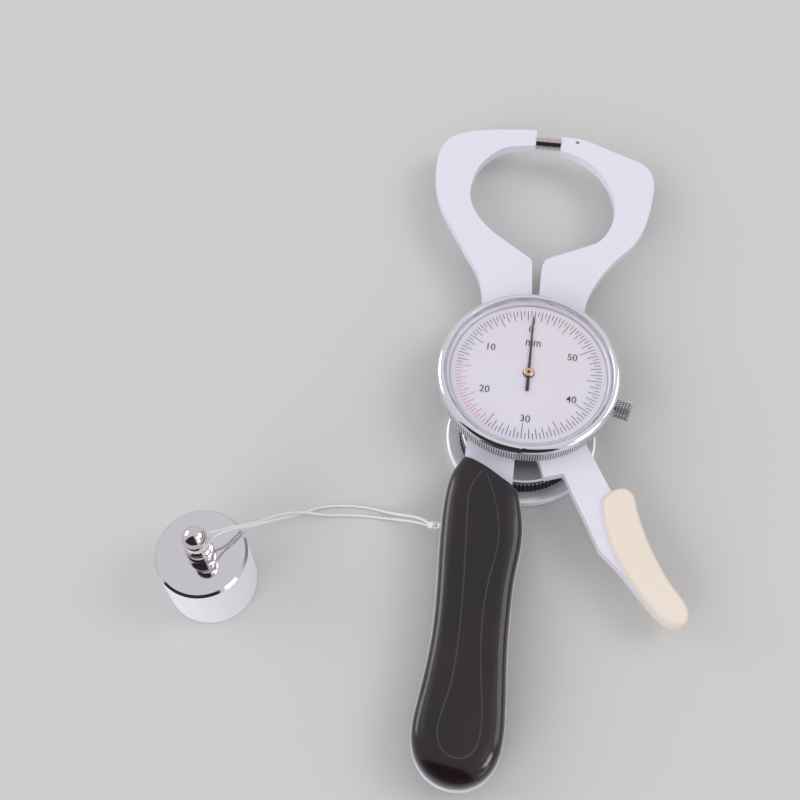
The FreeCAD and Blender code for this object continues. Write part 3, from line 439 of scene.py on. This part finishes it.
def placed(material, group, **values):
    """A shader group in a material, with its own values."""
    node = material.node_tree.nodes.new("ShaderNodeGroup")
    node.node_tree = group
    for label, value in values.items():
        node.inputs[label.replace("_", " ").title()].default_value = value
    return node


def connect(material, node, **sockets):
    """Links outputs of a group to the shader's sockets of the given names."""
    shader = material.node_tree.nodes["Principled BSDF"]
    for target, source in sockets.items():
        material.node_tree.links.new(node.outputs[source],
                                     shader.inputs[target.replace("_", " ").title()])


def grained(name, colour, roughness, clouding=0.04, gloss_change=0.06, scale=2500.0, depth=0.1,
            patch=(0.5, 0.5, 0.5), patches=0.0, **values):
    material = new_material(name, **values)
    node = placed(material, FINISH_GRAIN, color=(*colour, 1), clouding=clouding,
                  roughness=roughness, gloss_change=gloss_change, pebble_scale=scale,
                  pebble_depth=depth, patch_color=(*patch, 1), patches=patches)
    connect(material, node, base_color="Color", roughness="Roughness", normal="Normal")
    return material


def plated(name, colour, roughness, haze=0.05, wipe=0.05, metallic=1.0):
    material = new_material(name, metallic=metallic)
    node = placed(material, PLATING_POLISH, color=(*colour, 1), roughness=roughness, haze=haze,
                  wipe_depth=wipe)
    connect(material, node, base_color="Color", roughness="Roughness", normal="Normal")
    return material


def turned(name, colour, roughness, rings, depth):
    """Metal turned about the dial's axis."""
    material = new_material(name, metallic=1.0, base_color=(*colour, 1))
    node = placed(material, LATHE_MARKS, axis_at=(DIAL_CENTRE[0] * MM, DIAL_CENTRE[1] * MM, 0),
                  roughness=roughness, ring_scale=rings, ring_depth=depth)
    connect(material, node, roughness="Roughness", normal="Normal")
    return material


def band(material, axis_at, **edges):
    """Mask of a ring band about an axis, with its edges in mm."""
    node = placed(material, RING_BAND, axis_at=(axis_at[0] * MM, axis_at[1] * MM, 0), **edges)
    return node.outputs["Mask"]


def painted(material, mask, value, socket="Base Color"):
    """Lays another colour, or number, over a shader's socket where the mask is 1."""
    tree = material.node_tree
    target = tree.nodes["Principled BSDF"].inputs[socket]
    under = target.links[0].from_socket if target.links else target.default_value
    blend = mixed if isinstance(value, tuple) else mixed_level
    tree.links.new(blend(tree, mask, under, value), target)


def refinished(material, mask, colour, metallic=None, roughness=None):
    """Another colour where the mask is 1 and, where they are given, other metal and roughness."""
    for socket, value in (("Base Color", colour), ("Metallic", metallic),
                          ("Roughness", roughness)):
        if value is not None:
            painted(material, mask, value, socket)


# ---------------------------------------------------------------- finishes of single pieces
BEZEL_BANDS = (                  # in the order that they are laid: edges in mm, then the finish
    (dict(inner=33.0, low=15.0, high=21.42, soft=0.1), ((0.74, 0.73, 0.78), 0.5, 0.34)),   # knurl
    (dict(inner=32.2, outer=33.2, low=23.9, soft=0.3), ((0.73, 0.72, 0.80), 0.5, 0.25)),   # land
    (dict(outer=32.25, low=20.0, soft=0.1), ((0.66, 0.64, 0.72), 0.2, 0.45)),              # cone
    # painted shade: near-black in the roots of the knurl
    (dict(inner=33.6, outer=34.33, low=15.0, high=21.3, soft=0.12),
     ((0.07, 0.065, 0.07),)),                                             # roots of the knurl
    # painted shade line in the gap at the glass
    (dict(inner=32.1, outer=32.35, low=23.0, soft=0.12), ((0.44, 0.43, 0.48),)),   # at the glass
    # painted shade line at the foot of the cone
    (dict(inner=29.8, outer=30.3, low=21.2, high=21.9, soft=0.15),
     ((0.30, 0.29, 0.33),)))                                              # foot of the cone


def bezel_finish():
    """Chrome bead over a satin land, cone and knurl, with painted shade in the knurl's roots and
    painted shade lines where pieces meet.
    """
    material = plated("bezel_chrome", (0.84, 0.84, 0.88), 0.07, haze=0.04, wipe=0.03)
    for edges, finish in BEZEL_BANDS:
        refinished(material, band(material, DIAL_CENTRE, **edges), *finish)
    return material


def wheel_finish():
    """Black anodising, with a painted highlight on the top corners of the teeth."""
    material = grained("wheel_black_anodise", (0.005, 0.0045, 0.005), 0.45, clouding=0.2,
                       gloss_change=0.08, scale=3000.0, depth=0.08, specular_ior_level=0.3)
    corners = band(material, PIVOT, inner=23.7, low=8.85, soft=0.1)
    # painted highlight: the top corners of the teeth are coloured pale to stand in for their
    # glints
    painted(material, corners, (0.75, 0.75, 0.79))
    return material


def disc_finish():
    """Polished chrome, with a less metallic rim painted as a bright highlight line on its rounded
    edge.
    """
    material = plated("back_disc_chrome", (0.94, 0.93, 0.98), 0.20, wipe=0.04, metallic=0.55)
    rim = band(material, PIVOT, inner=28.35, soft=0.2)
    # painted highlight: the rounded rim is made less metallic so that it reads as a bright line
    refinished(material, rim, (0.93, 0.92, 0.97), 0.3, 0.22)
    return material


def pivot_plate_finish():
    """Mottled ground steel, with a painted highlight along its bevel."""
    material = grained("pivot_plate_steel", (0.34, 0.325, 0.35), 0.42, clouding=0.4,
                       gloss_change=0.5, scale=1200.0, depth=0.15, metallic=0.85)
    bevel = band(material, PIVOT, inner=22.95, low=10.6, soft=0.1)
    # painted highlight: the bevel is coloured pale and less metallic to show as a bright line
    refinished(material, bevel, (0.90, 0.86, 0.89), 0.2)
    return material


def lock_knob_finish():
    """Nickel knurl, with painted shade between the diamonds; their points keep the bright nickel.
    """
    material = plated("lock_knob_nickel", (0.90, 0.88, 0.90), 0.24, haze=0.08, wipe=0.10,
                      metallic=0.8)
    tree = material.node_tree
    axis = math.radians(LOCK_KNOB_DEG)
    centre = (DIAL_CENTRE[0] * MM, DIAL_CENTRE[1] * MM, LOCK_KNOB_Z * MM)
    away = vector_math(tree, "SUBTRACT", object_place(tree), centre)
    off_axis = vector_math(tree, "CROSS_PRODUCT", away, (math.cos(axis), math.sin(axis), 0))
    radius = vector_math(tree, "LENGTH", off_axis, result="Value")
    points = in_range(tree, radius, *(value * MM for value in LOCK_KNOB_TEETH_R))
    # painted shade in the hollows between the diamonds
    painted(material, opposite(tree, points), (0.26, 0.235, 0.25))
    return material


def weight_finish():
    """Bead-blasted side under a polished top and rim, with a painted highlight along the foot of
    the side.
    """
    material = grained("weight_satin_chrome", (0.94, 0.93, 1.0), 0.42, clouding=0.05,
                       gloss_change=0.05, scale=1500.0, depth=0.10, metallic=0.05)
    # painted highlight: a white band along the foot of the side
    painted(material, band(material, WEIGHT_AT, high=0.7, soft=0.3), (0.97, 0.97, 0.99))
    top = band(material, WEIGHT_AT, low=WEIGHT_TOP - 0.95, soft=0.05)
    refinished(material, top, (0.80, 0.775, 0.84), 1.0, 0.06)
    return material


def paint_grip_line_highlight(material):
    """Painted highlight in the engraved line: a paler colour on its level floor and on its upright
    walls.
    """
    tree = material.node_tree
    facing = tree.nodes.new("ShaderNodeNewGeometry").outputs["True Normal"]
    up = axes(tree, facing)["Z"]
    level = in_range(tree, up, 0.985, 0.995)
    upright = opposite(tree, in_range(tree, up, 0.1, 0.4))
    at_floor = band(material, PIVOT, low=GRIP_LINE_FLOOR - 0.06, high=GRIP_LINE_FLOOR + 0.06,
                    soft=0.04)
    above_floor = band(material, PIVOT, low=GRIP_LINE_FLOOR, high=30.0, soft=0.04)
    line_floor = math_node(tree, "MULTIPLY", level, at_floor)
    walls = math_node(tree, "MULTIPLY", upright, above_floor)
    # painted highlight: pale colour in the engraved line
    painted(material, math_node(tree, "MAXIMUM", line_floor, walls), (0.11, 0.105, 0.11))


def crown_grip(material):
    """Shades the grip's top as if it fell away all round from its middle line."""
    tree = material.node_tree
    place = axes(tree, object_place(tree))
    aside = math_node(tree, "SUBTRACT", place["X"], GRIP_MIDDLE_X * MM)
    past_end = math_node(tree, "SUBTRACT", place["Y"], GRIP_END_Y * MM)
    beyond = math_node(tree, "MINIMUM", past_end, 0.0)
    square = math_node(tree, "ADD", math_node(tree, "MULTIPLY", aside, aside),
                       math_node(tree, "MULTIPLY", beyond, beyond))
    share = math_node(tree, "DIVIDE", math_node(tree, "SQRT", square), GRIP_HALF_WIDTH * MM)
    steep = math_node(tree, "POWER", share, GRIP_CROWN_POWER)
    fall = math_node(tree, "MULTIPLY", steep, -GRIP_CROWN * MM)
    crown = bumped(tree, fall, 1.0, 1.0)
    shader_normal = tree.nodes["Principled BSDF"].inputs["Normal"]
    tree.links.new(shader_normal.links[0].from_socket, crown.inputs["Normal"])
    tree.links.new(crown.outputs["Normal"], shader_normal)


def grip_finish():
    """Dark lacquer with brownish clouds, a painted highlight in the engraved line and a crown."""
    material = grained("grip_black_lacquer", (0.0075, 0.0040, 0.0080), 0.30, clouding=0.25,
                       scale=700.0, depth=0.03, patch=(0.022, 0.0065, 0.0085), patches=0.6,
                       specular_ior_level=0.1, coat_weight=0.9, coat_roughness=0.12)
    paint_grip_line_highlight(material)
    crown_grip(material)
    return material


def make_materials():
    """Finishes by record slot, and by the piece's name where one has its own."""
    return {
        "white_enamel": grained(
            "arm_white_enamel", (0.735, 0.725, 0.82), 0.36, clouding=0.03, gloss_change=0.08,
            scale=900.0, depth=0.10, specular_ior_level=0.15),
        "anvil_chrome": plated("anvil_hard_chrome", (0.66, 0.585, 0.60), 0.10),
        "steel": plated("screw_steel", (0.52, 0.52, 0.54), 0.30, haze=0.10, wipe=0.10),
        "set_screw": plated("set_screw_steel", (0.48, 0.46, 0.51), 0.4),
        "pivot_plate": pivot_plate_finish(),
        "disc_chrome": disc_finish(),
        "wheel_black": wheel_finish(),
        "spring_steel": plated("spring_blued_steel", (0.30, 0.34, 0.42), 0.25),
        "brass": turned("turned_brass", (0.78, 0.50, 0.26), 0.28, 5000.0, 0.10),
        "washer_plastic": grained("washer_nylon", (0.80, 0.78, 0.72), 0.5),
        "bezel_chrome": bezel_finish(),
        "crystal_clear": new_material(
            "crystal_clear", base_color=(0.96, 0.98, 0.99, 1), roughness=0.02, ior=1.49,
            transmission_weight=1.0, alpha=0.11),
        "dial_silver": grained(
            "dial_silver_print_ground", (0.725, 0.69, 0.785), 0.42, clouding=0.02,
            gloss_change=0.05, scale=5000.0, depth=0.06, patch=(0.735, 0.665, 0.725),
            patches=0.6, specular_ior_level=0.0),
        "needle_black": grained(
            "needle_blacking", (0.030, 0.029, 0.032), 0.35, clouding=0.1, gloss_change=0.05),
        "case_grey": turned("case_turned_aluminium", (0.60, 0.60, 0.62), 0.32, 2500.0, 0.2),
        "grip_black": grip_finish(),
        "pad_cream": grained(
            "thumb_pad_cream", (0.815, 0.72, 0.655), 0.36, clouding=0.03, gloss_change=0.08,
            scale=800.0, depth=0.06, patch=(0.79, 0.71, 0.575), patches=0.4,
            subsurface_weight=0.08, subsurface_scale=0.002),
        "cord_white": grained(
            "cord_white_cotton", (0.86, 0.85, 0.84), 0.75, clouding=0.08, gloss_change=0.05,
            scale=6000.0, depth=0.5, sheen_weight=0.3),
        "weight_chrome": weight_finish(),
        "weight_knob": plated(
            "weight_knob_chrome", (0.76, 0.70, 0.74), 0.04, haze=0.03, wipe=0.03),
        "lock_knob": lock_knob_finish(),
        "needle_hub": turned("needle_hub_brass", (0.80, 0.60, 0.43), 0.30, 5000.0, 0.10),
        "cord_eyelet": plated("eyelet_wire", (0.90, 0.83, 0.84), 0.22, metallic=0.3),
        "ink_black": grained("dial_ink_black", (0.022, 0.020, 0.026), 0.5),
        "ink_red": grained("dial_ink_red", (0.55, 0.17, 0.21), 0.5),
        "pinion_arbor": plated("arbor_end_bronze", (0.20, 0.03, 0.03), 0.3),
    }


NODE_FINISH = {                  # solids that don't take the finish of their record slot
    "anvil_set_screw": "set_screw", "pivot_plate": "pivot_plate", "weight_knob": "weight_knob",
    "lock_knob": "lock_knob", "pinion_arbor": "pinion_arbor", "cord_eyelet": "cord_eyelet",
    "needle_hub": "needle_hub",
}


def dress_nodes(finishes):
    """Gives each solid the finish of its record slot, or its own where one is named."""
    slots = {row["node"]: row["material_slot"] for row in frame["record"]["subparts"]}
    for name, solid in frame["nodes"].items():
        for holder in solid.material_slots:
            holder.material = finishes[NODE_FINISH.get(name, slots[name])]


# ---------------------------------------------------------------- dial print
TICK_OUTER = 28.05
TICK_WIDTH = 0.28
TICKS = 120                      # one each half millimetre
TICK_LENGTHS = ((20, 6.4), (10, 6.0), (2, 4.3), (1, 2.4))   # every so many ticks, mm long
RED_TICKS = range(30, 50)
INK = (DIAL_TOP - 0.01, DIAL_TOP + 0.02)   # lowest and highest face of the print
NUMERAL_HEIGHT = 2.9
CAPITAL_SHARE = 0.72             # height of the figures in the letters' size
STROKE_GAIN = 0.035              # added all round the strokes of the figures
UNIT_STRETCH = 1.3               # the unit is printed taller than wide
PRINTED = (("0", -0.4, 19.5), ("10", -15.5, 9.9), ("20", -16.1, -8.8), ("30", 0.2, -19.7),
           ("40", 16.9, -9.6), ("50", 16.2, 8.8), ("mm", 0.8, 13.7))   # from the dial's centre


def tick_angle(number):
    """Direction of a tick on the dial, in radians; the scale runs anticlockwise from the top."""
    return math.radians(90 + ZERO_DEG + 360 * number / TICKS)


def print_ticks(finishes):
    black, red = [], []
    for number in range(TICKS):
        length = next(size for step, size in TICK_LENGTHS if number % step == 0)
        mark = bar(TICK_OUTER - length, TICK_OUTER, TICK_WIDTH, tick_angle(number), *INK)
        (red if number in RED_TICKS else black).append(mark)
    piece("dial_ticks_black", *joined(black), "bezel", finishes["ink_black"])
    piece("dial_ticks_red", *joined(red), "bezel", finishes["ink_red"])


def lettering(name, words, at, finish, stretch):
    """Flat printed characters, centred on at (mm), riding on the bezel."""
    data = bpy.data.curves.new(name, "FONT")
    data.body = words
    data.size = NUMERAL_HEIGHT * MM / CAPITAL_SHARE
    data.align_x = "CENTER"
    data.align_y = "CENTER"
    data.extrude = 0.5 * (INK[1] - INK[0]) * MM
    data.offset = STROKE_GAIN * MM
    data.resolution_u = 6
    letters = bpy.data.objects.new(name, data)
    bpy.context.collection.objects.link(letters)
    letters.location = Vector((at[0], at[1], (INK[0] + INK[1]) / 2)) * MM
    letters.rotation_euler = (0, 0, math.radians(ZERO_DEG))
    letters.scale.y = stretch
    data.materials.append(finish)
    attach(letters, "bezel")


def print_numerals(finishes):
    for words, x, y in PRINTED:
        at = (DIAL_CENTRE[0] + x, DIAL_CENTRE[1] + y)
        lettering("dial_print_" + words, words, at, finishes["ink_black"],
                  UNIT_STRETCH if words == "mm" else 1.0)


# ---------------------------------------------------------------- cord
LINE_STEP = 0.25
STRANDS = 3
STRAND_RADIUS = 0.25
STRAND_OFFSET = 0.27             # from the cord's middle line
STRAND_LAY = 2.4                 # length of one turn of the strands
STRAND_SIDES = 6
KNOT_POINTS = 72
KNOT_SIZE = 0.36
KNOT_DEPTH = 0.5
KNOT_CORD_RADIUS = 0.48
BIGHT_RADIUS = 1.0               # of the turn through the eyelet
BIGHT_CORD_RADIUS = 0.45
KNOT_SIDES = 10


def route_line():
    """Points along the smooth line of the cord's route, in metres."""
    data = bpy.data.curves.new("cord_line", "CURVE")
    data.dimensions = "3D"
    data.resolution_u = 12
    spline = data.splines.new("NURBS")
    spline.points.add(len(CORD_ROUTE) - 1)
    for point, place in zip(spline.points, CORD_ROUTE):
        point.co = (place[0] * MM, place[1] * MM, place[2] * MM, 1)
    spline.order_u = 3
    spline.use_endpoint_u = True
    line = bpy.data.objects.new("cord_line", data)
    bpy.context.collection.objects.link(line)
    bpy.context.view_layer.update()
    evaluated = line.evaluated_get(bpy.context.evaluated_depsgraph_get())
    mesh = bpy.data.meshes.new_from_object(evaluated)
    points = [vertex.co.copy() for vertex in mesh.vertices]
    bpy.data.meshes.remove(mesh)
    bpy.data.objects.remove(line)
    return points


def even_steps(points, step):
    """The same line at an even spacing."""
    spaced = [points[0]]
    carry = 0.0
    for start, end in zip(points, points[1:]):
        length = (end - start).length
        at = step - carry
        while at <= length:
            spaced.append(start.lerp(end, at / length))
            at += step
        carry = length - (at - step)
    return spaced


def knot_lines():
    """Middle lines of the overhand knot and of the bight round the eyelet, in metres."""
    knot, bight = [], []
    for number in range(KNOT_POINTS):
        turn = 2 * math.pi * number / KNOT_POINTS
        trefoil = Vector(((math.sin(turn) + 2 * math.sin(2 * turn)) * KNOT_SIZE,
                          (math.cos(turn) - 2 * math.cos(2 * turn)) * KNOT_SIZE,
                          -math.sin(3 * turn) * KNOT_DEPTH))
        round_wire = Vector((math.cos(turn), 0, math.sin(turn))) * BIGHT_RADIUS
        knot.append((Vector(KNOT_AT) + trefoil) * MM)
        bight.append((Vector(EYE_WIRE_AT) + round_wire) * MM)
    return knot, bight


def make_cord(finishes):
    """Loop of three laid strands from the eyelet round the weight's neck, with its end knot."""
    line = even_steps(route_line(), LINE_STEP * MM)
    strands = [tube(line, STRAND_RADIUS * MM, STRAND_SIDES,
                    start_angle=2 * math.pi * strand / STRANDS, lay=STRAND_LAY * MM,
                    offset=STRAND_OFFSET * MM)
               for strand in range(STRANDS)]
    cord = piece("cord_loop", *joined(strands), "frame", finishes["cord_white"], smooth=True)
    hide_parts("cord_tube")

    knot_line, bight_line = knot_lines()
    turns = joined([tube(knot_line, KNOT_CORD_RADIUS * MM, KNOT_SIDES, closed=True),
                    tube(bight_line, BIGHT_CORD_RADIUS * MM, KNOT_SIDES, closed=True)])
    knot = piece("cord_end_knot", *turns, "frame", finishes["cord_white"], smooth=True)
    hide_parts("cord_knot")


# ---------------------------------------------------------------- floor and light
FLOOR_GREY = 0.60
FLOOR_REACH = 6.0                # metres
FLOOR_DROP = 0.05
AMBIENT = 0.68                   # light of the surroundings on matt surfaces
FLOOR_SEEN = 0.617               # beyond the floor the camera sees the lit floor's own level
ROOM_SEEN = 0.68                 # the surroundings in a mirror
ROOM_TINT = (1.0, 0.99, 1.0, 1)
PANEL_EDGE = 3.0                 # half the width of a panel's soft edge, degrees
# Name, azimuth, elevation, spread in degrees, share of white that it lifts a level surface by
SUNS = (("key_light", 12, 48, 30, 0.14), ("left_fill", 178, 32, 40, 0.08),
        ("front_fill", -125, 30, 40, 0.13))
# Panels in a mirror: azimuth, half width, lowest and highest elevation in degrees, level
MIRRORED = ((-103, 50, -8, 86, 0.03), (-30, 12, 12, 30, 2.2), (-12, 10, 36, 54, 8.0),
            (22, 30, -8, 13, 0.25), (23, 16, 18, 46, 2.8), (158, 15, 8, 33, 4.2))


def make_floor():
    material = new_material("floor_pale_grey", roughness=0.75, specular_ior_level=0.0,
                            base_color=(FLOOR_GREY, FLOOR_GREY, FLOOR_GREY, 1))
    mesh = bpy.data.meshes.new("floor")
    mesh.from_pydata([(x * FLOOR_REACH, y * FLOOR_REACH, 0)
                      for x, y in ((-1, -1), (1, -1), (1, 1), (-1, 1))], [], [(0, 1, 2, 3)])
    floor = bpy.data.objects.new("floor", mesh)
    floor.location.z = -FLOOR_DROP * MM
    bpy.context.collection.objects.link(floor)
    mesh.materials.append(material)


def direction(azimuth, elevation):
    """Unit vector; azimuth is counted from +X towards +Y, in degrees."""
    a, e = math.radians(azimuth), math.radians(elevation)
    return Vector((math.cos(a) * math.cos(e), math.sin(a) * math.cos(e), math.sin(e)))


def soft_sun(name, azimuth, elevation, spread, level):
    """Wide distant light. It stays out of mirrors, which see the panels instead."""
    data = bpy.data.lights.new(name, "SUN")
    data.angle = math.radians(spread)
    data.energy = math.pi * level / math.sin(math.radians(elevation))
    lamp = bpy.data.objects.new(name, data)
    lamp.rotation_euler = direction(azimuth, elevation).to_track_quat("Z", "Y").to_euler()
    lamp.visible_glossy = False
    bpy.context.collection.objects.link(lamp)


def past_edge(tree, value, edge):
    """0 below an edge in degrees and 1 above it, for a value in radians, with a soft step."""
    return in_range(tree, value, math.radians(edge - PANEL_EDGE), math.radians(edge + PANEL_EDGE))


def panel(tree, way, azimuth, half_width, low, high):
    """1 inside a panel of the surroundings, given by its azimuths and elevations in degrees."""
    facing, beside = (vector_math(tree, "DOT_PRODUCT", way, direction(angle, 0), "Value")
                      for angle in (azimuth, azimuth + 90))
    aside = math_node(tree, "ABSOLUTE", math_node(tree, "ARCTAN2", beside, facing))
    height = math_node(tree, "ARCSINE", axes(tree, way)["Z"])
    inside = opposite(tree, past_edge(tree, aside, half_width))
    between = math_node(tree, "MULTIPLY", past_edge(tree, height, low),
                        opposite(tree, past_edge(tree, height, high)))
    return math_node(tree, "MULTIPLY", inside, between)


def light_studio():
    """Pale even surroundings; polished metal also sees a dark front and bright panels."""
    for sun in SUNS:
        soft_sun(*sun)
    world = bpy.data.worlds.new("studio")
    bpy.context.scene.world = world
    world.use_nodes = True
    tree = world.node_tree
    tree.nodes.clear()
    way = tree.nodes.new("ShaderNodeTexCoord").outputs["Generated"]
    seen = ROOM_SEEN
    for *place, level in MIRRORED:
        seen = mixed_level(tree, panel(tree, way, *place), seen, level)
    rays = tree.nodes.new("ShaderNodeLightPath").outputs
    strength = mixed_level(tree, rays["Is Glossy Ray"], AMBIENT, seen)
    strength = mixed_level(tree, rays["Is Camera Ray"], strength, FLOOR_SEEN)
    background = tree.nodes.new("ShaderNodeBackground")
    background.inputs["Color"].default_value = ROOM_TINT
    tree.links.new(strength, background.inputs["Strength"])
    out = tree.nodes.new("ShaderNodeOutputWorld")
    tree.links.new(background.outputs["Background"], out.inputs["Surface"])
    bpy.context.scene.view_settings.view_transform = "Standard"


# ---------------------------------------------------------------- build
set_camera()
finishes = make_materials()
make_cord(finishes)
dress_nodes(finishes)
print_ticks(finishes)
print_numerals(finishes)
make_floor()
light_studio()
